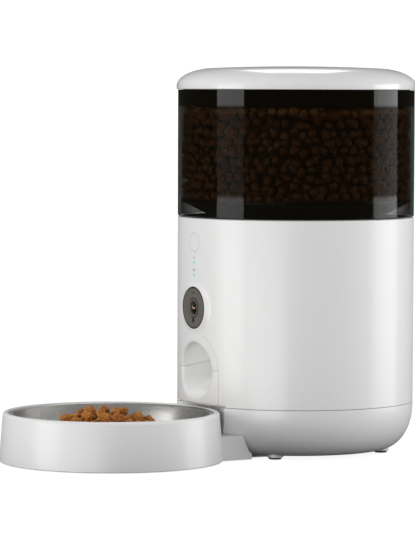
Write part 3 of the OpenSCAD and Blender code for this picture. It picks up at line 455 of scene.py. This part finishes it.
def smoothing_group():
    """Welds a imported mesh's split corners and shades it smooth except across real edges."""
    group = bpy.data.node_groups.new("smooth_by_angle", "GeometryNodeTree")
    for in_out in ("INPUT", "OUTPUT"):
        group.interface.new_socket("Geometry", in_out=in_out, socket_type="NodeSocketGeometry")
    into = add(group, "NodeGroupInput").outputs[0]
    weld = add(group, "GeometryNodeMergeByDistance", {"Geometry": into, "Distance": WELD_DISTANCE}).outputs[0]
    faces = add(group, "GeometryNodeSetShadeSmooth", {
        "Geometry": weld, "Shade Smooth": True}, domain="FACE").outputs[0]
    angle = add(group, "GeometryNodeInputMeshEdgeAngle").outputs[0]
    sharp = add(group, "FunctionNodeCompare", {"A": angle, "B": SHARP_ANGLE}, operation="GREATER_THAN").outputs[0]
    edges = add(group, "GeometryNodeSetShadeSmooth", {
        "Geometry": faces, "Selection": sharp, "Shade Smooth": False}, domain="EDGE").outputs[0]
    add(group, "NodeGroupOutput", {0: edges})
    return group


smooth_by_angle = smoothing_group()
slot_of = {s["node"]: s["material_slot"] for s in frame["record"]["subparts"]}
for node_name, node_obj in nodes.items():
    node_obj.data.materials.clear()
    node_obj.data.materials.append(LOOKS[slot_of[node_name]])
    if "custom_normal" in node_obj.data.attributes:
        node_obj.data.attributes.remove(node_obj.data.attributes["custom_normal"])
    node_obj.modifiers.new("smooth", "NODES").node_group = smooth_by_angle
nodes["lid_shell"].data.materials[0] = lid_gloss


# ---------------------------------------------------------------- mesh helpers

def new_piece(name, verts, faces, body, look, thickness=0.0):
    """A mesh piece from points in millimetres, riding on a body. A thickness makes an open skin a closed shell."""
    data = bpy.data.meshes.new(name)
    data.from_pydata((np.asarray(verts, float) * MM).tolist(), [], faces)
    data.polygons.foreach_set("use_smooth", [True] * len(data.polygons))
    data.materials.append(look)
    obj = linked(name, data)
    if thickness:
        solid = obj.modifiers.new("thickness", "SOLIDIFY")
        solid.thickness = thickness * MM
        solid.offset = -1.0
        solid.use_even_offset = True
        obj.modifiers.new("smooth", "NODES").node_group = smooth_by_angle
    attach(obj, body)
    return obj


def grid_faces(rows, columns, closed=False, flip=False):
    """Faces of a grid of points stored row by row; closed joins the last column to the first."""
    faces = []
    for r in range(rows - 1):
        for c in range(columns if closed else columns - 1):
            d = (c + 1) % columns
            face = (r * columns + c, r * columns + d, (r + 1) * columns + d, (r + 1) * columns + c)
            faces.append(face[::-1] if flip else face)
    return faces


# ---------------------------------------------------------------- food outlet: smooth-lipped skins

# In millimetres: the mouth's height, the passage behind it, its lip, and the panel round it.
MOUTH_Z = 69.0
RISE = math.radians(9)
THROAT_R, FLOOR_DROP, CORNER = 20.7, 17.9, 11.5
THROAT_END = 33.0
LIP_R = 25.0
ARCH_R, ARCH_STEPS = 29.8, 40
COVER_HALF = 29.7
WALL = 2.2
SEAM = 0.16
LOWER_ROUND = 3.0
LIP_STEPS, THROAT_STEPS = 10, 6
MOUTH_LIGHT_SIZE, MOUTH_LIGHT_RADIANCE, MOUTH_LIGHT_DEEP = (0.022, 0.020), 5.0, 20.0


def front_radius(z):
    """The tower's radius at a height, with the rounded edge above the bowl."""
    t = LOWER_ROUND - (z - BODY_LOW)
    return TOWER_R - (LOWER_ROUND - math.sqrt(max(0.0, LOWER_ROUND ** 2 - t * t)) if t > 0 else 0.0)


def front_point(x, z):
    """A point on the tower's front."""
    r = front_radius(z)
    return Vector((x, TOWER_Y - math.sqrt(r * r - x * x), z))


def chute_point(x, deep, high):
    """A point of the sloping passage from its own frame, whose origin is in the outlet."""
    return Vector((x, FRONT_Y + deep * math.cos(RISE) - high * math.sin(RISE),
                   MOUTH_Z + deep * math.sin(RISE) + high * math.cos(RISE)))


def throat_radius(a):
    """Distance from the passage's axis to its wall: round above, a flatter floor with round corners below."""
    c, s = math.cos(a), math.sin(a)
    if s >= 0:
        return THROAT_R
    side, drop = THROAT_R - CORNER, FLOOR_DROP - CORNER
    if abs(c) > 1e-6 and THROAT_R / abs(c) * -s <= drop:
        return THROAT_R / abs(c)
    if abs(c) * FLOOR_DROP <= side * -s:
        return FLOOR_DROP / -s
    b = side * abs(c) + drop * -s
    return b + math.sqrt(max(0.0, b * b - side * side - drop * drop + CORNER ** 2))


def bezier(p0, p1, p2, p3, t):
    u = 1 - t
    return p0 * u ** 3 + p1 * 3 * u * u * t + p2 * 3 * u * t * t + p3 * t ** 3


def outlet_skin(angles, outline, panel_steps, lead=None):
    """Rows of points from the panel's outline over the soft lip and down the passage, a column for each angle."""
    inward = Vector((0, math.cos(RISE), math.sin(RISE)))
    columns = []
    for a in angles:
        c, s = math.cos(a), math.sin(a)
        reach = outline(a)
        column = lead(a) if lead else []
        for k in range(panel_steps + 1):
            r = reach + (LIP_R - reach) * k / panel_steps
            column.append(front_point(r * c, MOUTH_Z + r * s))
        start = column[-1]
        before = front_point((LIP_R + 0.5) * c, MOUTH_Z + (LIP_R + 0.5) * s)
        along = (start - before).normalized()
        tr = throat_radius(a)
        deep = 7.0 + 1.5 * (1 - abs(s))
        end = chute_point(tr * c, deep, tr * s)
        leave, arrive = start + along * (LIP_R - tr) * 0.62, end - inward * deep * 0.58
        for k in range(1, LIP_STEPS + 1):
            column.append(bezier(start, leave, arrive, end, k / LIP_STEPS))
        for k in range(1, THROAT_STEPS + 1):
            column.append(chute_point(tr * c, deep + (THROAT_END - deep) * k / THROAT_STEPS, tr * s))
        columns.append(column)
    rows = len(columns[0])
    return [column[r] for r in range(rows) for column in columns], rows


def lay_on_split(verts, rows, columns, side):
    """Lays the two end columns on the sloping split plane, so that the mouldings meet in a straight line."""
    for r in range(rows):
        for c in (0, columns - 1):
            p = verts[r * columns + c]
            p.z = MOUTH_Z + math.tan(RISE) * (p.y - FRONT_Y) + side * SEAM / math.cos(RISE)


def cover_outline(a):
    """Distance from the mouth's middle to the edge of the panel's lower half, which is a rectangle."""
    c, s = math.cos(a), math.sin(a)
    side = COVER_HALF / abs(c) if abs(c) > 1e-6 else 1e9
    return min(side, (MOUTH_Z - BODY_LOW) / max(1e-6, -s))


def cover_lead(a):
    """Two points that carry the lower half's edge inwards: back into the tower, or along its underside."""
    r = cover_outline(a)
    x, z = r * math.cos(a), MOUTH_Z + r * math.sin(a)
    if z > BODY_LOW + 0.01:
        edge = front_point(x, z)
        return [Vector((x, edge.y + d, z)) for d in (3.0, 1.5)]
    y = TOWER_Y - math.sqrt((TOWER_R - LOWER_ROUND) ** 2 - x * x)
    return [Vector((x, y + d, BODY_LOW)) for d in (4.0, 2.0)]


def build_outlet():
    gap = math.asin(SEAM / LIP_R)
    upper = [gap + (math.pi - 2 * gap) * i / ARCH_STEPS for i in range(ARCH_STEPS + 1)]
    verts, rows = outlet_skin(upper, lambda a: ARCH_R, 5)
    lay_on_split(verts, rows, len(upper), 1)
    new_piece("outlet_arch_skin", verts, grid_faces(rows, len(upper)), "tower", pearl, WALL)

    corner, gap = math.atan2(MOUTH_Z - BODY_LOW, COVER_HALF), SEAM / LIP_R
    spans = [(math.pi + gap, math.pi + corner, 14), (math.pi + corner, 2 * math.pi - corner, 30),
             (2 * math.pi - corner, 2 * math.pi - gap, 14)]
    lower = [a0 + (a1 - a0) * i / n for a0, a1, n in spans for i in range(n)] + [2 * math.pi - gap]
    verts, rows = outlet_skin(lower, cover_outline, 8, cover_lead)
    lay_on_split(verts, rows, len(lower), -1)
    cover = new_piece("chute_cover_skin", verts, grid_faces(rows, len(lower)), "chute_cover", pearl,
                      WALL)
    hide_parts("outlet_arch")
    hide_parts("chute_cover")


def light_mouth():
    """A small light under the passage's ceiling."""
    fill = area_light("mouth_fill", *MOUTH_LIGHT_SIZE, MOUTH_LIGHT_RADIANCE)
    fill.location = chute_point(0, MOUTH_LIGHT_DEEP, THROAT_R - 1.0) * MM
    fill.rotation_euler = (RISE, 0, 0)
    fill.visible_camera = fill.visible_glossy = False


build_outlet()
light_mouth()


# ---------------------------------------------------------------- camera surround, lamps' signs

# In millimetres, apart from the counts of steps.
FLARE_OUTER, FLARE_STEPS, FLARE_TURN = 23.5, 14, 96
FLARE_PROUD = 0.15
SIGN_SUNK, SIGN_PROUD = 0.05, 0.03
STROKE = 0.34
SIGNAL_Z, CELL_Z = 156.2, 147.8


def tower_front(x):
    return TOWER_Y - math.sqrt(TOWER_R ** 2 - x * x)


def build_camera_flare():
    """The white surround: flat beside the dark face, then flaring into the tower, with a tube behind."""
    edge, front = FACE_R + 0.12, FACE_Y - FLARE_PROUD
    rows = [(edge, 9.5), (edge, 6.0), (edge, 2.4), (edge, 0.35), (edge + 0.12, 0.1), (edge + 0.4, 0.0)]
    turns = [2 * math.pi * i / FLARE_TURN for i in range(FLARE_TURN)]
    verts = [Vector((r * math.cos(a), front + deep, CAMERA_Z + r * math.sin(a))) for r, deep in rows for a in turns]
    start = rows[-1][0]
    for k in range(1, FLARE_STEPS + 1):
        t = k / FLARE_STEPS
        r = start + (FLARE_OUTER - start) * t
        for a in turns:
            x, z = r * math.cos(a), CAMERA_Z + r * math.sin(a)
            skin = tower_front(x) + 0.12
            verts.append(Vector((x, skin + (front - skin) * (1 - t) ** 2.2, z)))
    faces = grid_faces(len(rows) + FLARE_STEPS, FLARE_TURN, closed=True)
    flare_piece = new_piece("camera_flare", verts, faces, "tower", pearl)
    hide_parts("camera_bezel")


def wrapped_print(name, shapes, look):
    """Thin printed shapes on the tower's front; each is a list of (x, z) points of a convex outline."""
    verts, faces = [], []
    for shape in shapes:
        n, first = len(shape), len(verts)
        for inwards in (SIGN_SUNK, -SIGN_PROUD):
            verts += [Vector((x, tower_front(x) + inwards, z)) for x, z in shape]
        faces.append(tuple(first + n + i for i in range(n)))
        faces.append(tuple(first + i for i in reversed(range(n))))
        for i in range(n):
            j = (i + 1) % n
            faces.append((first + i, first + j, first + n + j, first + n + i))
    new_piece(name, verts, faces, "tower", look)


def ring_pieces(cz, r, start, stop, steps):
    """Convex slices of an arc-shaped stroke about a point on the middle line."""
    low, high = r - STROKE / 2, r + STROKE / 2
    out = []
    for i in range(steps):
        a0, a1 = (math.radians(start + (stop - start) * (i + k) / steps) for k in (0, 1))
        corners = ((low, a0), (high, a0), (high, a1), (low, a1))
        out.append([(q * math.cos(a), cz + q * math.sin(a)) for q, a in corners])
    return out


def bar(x0, z0, x1, z1):
    """A rectangle of the cell sign."""
    return [(x0, CELL_Z + z0), (x1, CELL_Z + z0), (x1, CELL_Z + z1), (x0, CELL_Z + z1)]


def build_signs():
    ink = moulded("grey_ink", (0.34, 0.34, 0.34), 0.6, tint=0.05, cloud=2.0)
    signal = ring_pieces(SIGNAL_Z, 1.0, 40, 140, 5) + ring_pieces(SIGNAL_Z, 1.8, 42, 138, 7)
    signal += ring_pieces(SIGNAL_Z + 0.1, STROKE / 2, 0, 360, 8)
    wrapped_print("signal_sign", signal, ink)
    cell = [bar(-1.7, -0.95, 1.4, -0.7), bar(-1.7, 0.7, 1.4, 0.95), bar(-1.7, -0.7, -1.45, 0.7),
            bar(1.15, -0.7, 1.4, 0.7), bar(1.5, -0.35, 1.8, 0.35), bar(-1.2, -0.45, 0.3, 0.45)]
    wrapped_print("battery_sign", cell, ink)


build_camera_flare()
build_signs()


# ---------------------------------------------------------------- food

rng = random.Random(11)

# In millimetres: the space inside the hopper, and the stored food's lumps along its wall and on top.
HOPPER_INSIDE_R, HOPPER_FLOOR = 91.9, 202.2
WALL_RADII, WALL_ROWS, WALL_LOW, WALL_HIGH = (86.9, 80.2), 10, 206.0, 271.0
TOP_Z, TOP_R, TOP_HALF_COUNT = 271.5, 87.0, 24
CORE_TURN = 64
CORE_PROFILE = ((79, 267), (81, 264), (83, 210), (86, 203.8), (84.5, 202.6), (58, 190.5), (52, 189.5), (36, 195),
                (36, 202))

# The served food: the bowl's inside, the counts of lumps and tries, and how the heap spreads, packs and slopes.
BOWL_BASE, BOWL_FLAT_R, BOWL_SLOPE = 6.2, 52, 1.2
BOWL_LUMPS, BOWL_BOTTOM_LUMPS, BOWL_TRIES = 206, 90, 7
HEAP_R, HEAP_WIDEN, HEAP_PACKING, HEAP_SLOPE = 38.0, 1.05, 0.86, 0.29


def lump_shapes(count, subdivisions):
    """Base lumps: rounded, slightly flattened and knobbly, about one unit in radius."""
    shapes = []
    for k in range(count):
        mesh = bmesh.new()
        bmesh.ops.create_icosphere(mesh, subdivisions=subdivisions, radius=1.0)
        mesh.verts.ensure_lookup_table()
        seed = Vector((k * 7.3, k * 3.1, k * 5.7))
        pts = []
        for v in mesh.verts:
            d = v.co.normalized()
            big, middle, small = (noise.noise(d * scale + seed) for scale in (1.6, 3.4, 7))
            pts.append(tuple(d * (1.0 + 0.30 * big + 0.30 * middle + 0.22 * small)))
        flatten = np.array([1.0, rng.uniform(0.84, 1.0), rng.uniform(0.66, 0.88)])
        shapes.append((np.array(pts) * flatten, [tuple(v.index for v in f.verts) for f in mesh.faces]))
        mesh.free()
    return shapes


def random_turn():
    """A rotation matrix with no preferred direction."""
    q = np.array([rng.gauss(0, 1) for _ in range(4)])
    w, x, y, z = q / np.linalg.norm(q)
    return np.array([[1 - 2 * (y * y + z * z), 2 * (x * y - z * w), 2 * (x * z + y * w)],
                     [2 * (x * y + z * w), 1 - 2 * (x * x + z * z), 2 * (y * z - x * w)],
                     [2 * (x * z - y * w), 2 * (y * z + x * w), 1 - 2 * (x * x + y * y)]])


def heap(name, places, shapes, body, look, keep=None):
    """One mesh of many lumps; places are (x, y, z, radius) in millimetres, and keep trims points to a space."""
    verts, faces, first = [], [], 0
    for x, y, z, r in places:
        pts, tris = shapes[rng.randrange(len(shapes))]
        moved = (pts * r) @ random_turn().T + np.array([x, y, z])
        verts.append(keep(moved) if keep else moved)
        faces += [tuple(first + i for i in t) for t in tris]
        first += len(pts)
    new_piece(name, np.vstack(verts), faces, body, look)


def in_hopper(points):
    """Keeps lumps inside the hopper's wall, as if pressed against it."""
    axis = np.array([0, TOWER_Y, 0])
    out = points - axis
    r = np.hypot(out[:, 0], out[:, 1])
    scale = np.where(r > HOPPER_INSIDE_R, HOPPER_INSIDE_R / np.maximum(r, 1e-9), 1.0)
    out[:, :2] *= scale[:, None]
    out[:, 2] = np.maximum(out[:, 2], HOPPER_FLOOR)
    return out + axis


def fill_hopper():
    """Lumps along the wall and on top, round a plain core."""
    wall = []
    for radius in WALL_RADII:
        around = int(2 * math.pi * radius / 7.9)
        for i in range(WALL_ROWS):
            for k in range(around):
                a = 2 * math.pi * (k + 0.5 * (i % 2) + rng.uniform(-0.3, 0.3)) / around
                r = radius + rng.uniform(-1.2, 0.6)
                z = WALL_LOW + (WALL_HIGH - WALL_LOW) * i / (WALL_ROWS - 1) + rng.uniform(-2.2, 2.2)
                wall.append((r * math.cos(a), TOWER_Y + r * math.sin(a), z, rng.uniform(4.1, 4.9)))
    top = []
    for i in range(-TOP_HALF_COUNT, TOP_HALF_COUNT + 1):
        for k in range(-TOP_HALF_COUNT, TOP_HALF_COUNT + 1):
            x, y = 7.6 * (i + 0.5 * (k % 2)) + rng.uniform(-1.5, 1.5), 6.8 * k + rng.uniform(-1.5, 1.5)
            if math.hypot(x, y) < TOP_R:
                top.append((x, TOWER_Y + y, TOP_Z + rng.uniform(-1.8, 2.4), rng.uniform(4.1, 5.0)))
    shapes = lump_shapes(14, 2)
    heap("hopper_food_wall", wall, shapes, "hopper", stored_kibble_painted_shade, in_hopper)
    heap("hopper_food_top", top, shapes, "hopper", stored_kibble_painted_shade, in_hopper)
    turns = [2 * math.pi * i / CORE_TURN for i in range(CORE_TURN)]
    verts = [(r * math.cos(a), TOWER_Y + r * math.sin(a), z) for r, z in CORE_PROFILE for a in turns]
    faces = grid_faces(len(CORE_PROFILE), CORE_TURN, closed=True, flip=True)
    faces.append(tuple(range(CORE_TURN)))
    faces.append(tuple(reversed(range(len(verts) - CORE_TURN, len(verts)))))
    new_piece("hopper_food_core", verts, faces, "hopper", stored_kibble_painted_shade)


def bowl_floor(r):
    """Height of the bowl's inside at a radius."""
    return BOWL_BASE + max(0.0, r - BOWL_FLAT_R) * BOWL_SLOPE


def fill_bowl():
    """Drops lumps one by one; each takes the lowest and most central of a few tries."""
    centre_x, centre_y = -3.0, BOWL_Y - 5.0
    placed = []
    for _ in range(BOWL_LUMPS):
        best = None
        size = rng.uniform(3.9, 5.3)
        for _ in range(BOWL_TRIES):
            a, d = rng.uniform(0, 2 * math.pi), HEAP_R * math.sqrt(rng.random())
            x, y = centre_x + HEAP_WIDEN * d * math.cos(a), centre_y + d * math.sin(a)
            z = bowl_floor(math.hypot(x, y - BOWL_Y)) + size * 0.85
            for px, py, pz, pr in placed:
                gap = HEAP_PACKING * (pr + size)
                flat = (px - x) ** 2 + (py - y) ** 2
                if flat < gap * gap:
                    z = max(z, pz + math.sqrt(gap * gap - flat))
            score = z + HEAP_SLOPE * d
            if best is None or score < best[0]:
                best = (score, x, y, z)
        placed.append((*best[1:], size))
    placed.sort(key=lambda p: p[2])
    bottom, top = placed[:BOWL_BOTTOM_LUMPS], placed[BOWL_BOTTOM_LUMPS:]
    heap("bowl_food_bottom", bottom, lump_shapes(8, 3), "bowl", served_kibble)
    heap("bowl_food_top", top, lump_shapes(16, 4), "bowl", served_kibble)


fill_hopper()
fill_bowl()


# ---------------------------------------------------------------- floor

# In metres.
FLOOR_HALF = 8
SHADE_MARGIN, SHADE_Z = 0.05, -0.0005


def flat_sheet(name, low, high, z, look):
    """A level rectangle between two corners, in metres."""
    data = bpy.data.meshes.new(name)
    corners = [(low.x, low.y, z), (high.x, low.y, z), (high.x, high.y, z), (low.x, high.y, z)]
    data.from_pydata(corners, [], [(0, 1, 2, 3)])
    data.materials.append(look)
    return linked(name, data)


def build_stage():
    """A pale floor that only the camera sees, and a dark card below it that shades the feeder's foot."""
    m, tree, bsdf = principled("pale_floor")
    bsdf.inputs["Roughness"].default_value = 0.9
    bsdf.inputs["Emission Color"].default_value = (1.0, 1.0, 1.0, 1.0)
    bsdf.inputs["Emission Strength"].default_value = 0.9
    pale = tinted(tree, noise_of(tree, 60.0), (0.30, 0.30, 0.30), (0.32, 0.32, 0.32))
    tree.links.new(pale, bsdf.inputs["Base Color"])
    reach = Vector((FLOOR_HALF, FLOOR_HALF, 0))
    floor = flat_sheet("studio_floor", -reach, reach, 0, m)
    floor.visible_diffuse = floor.visible_glossy = floor.visible_shadow = False
    margin = Vector((SHADE_MARGIN, SHADE_MARGIN, 0))
    shade = moulded("shade", (0.06, 0.06, 0.06), 0.9)
    card = flat_sheet("floor_shade", cad_low - margin, cad_high + margin, SHADE_Z, shade)
    card.visible_camera = card.visible_glossy = card.visible_shadow = False


build_stage()
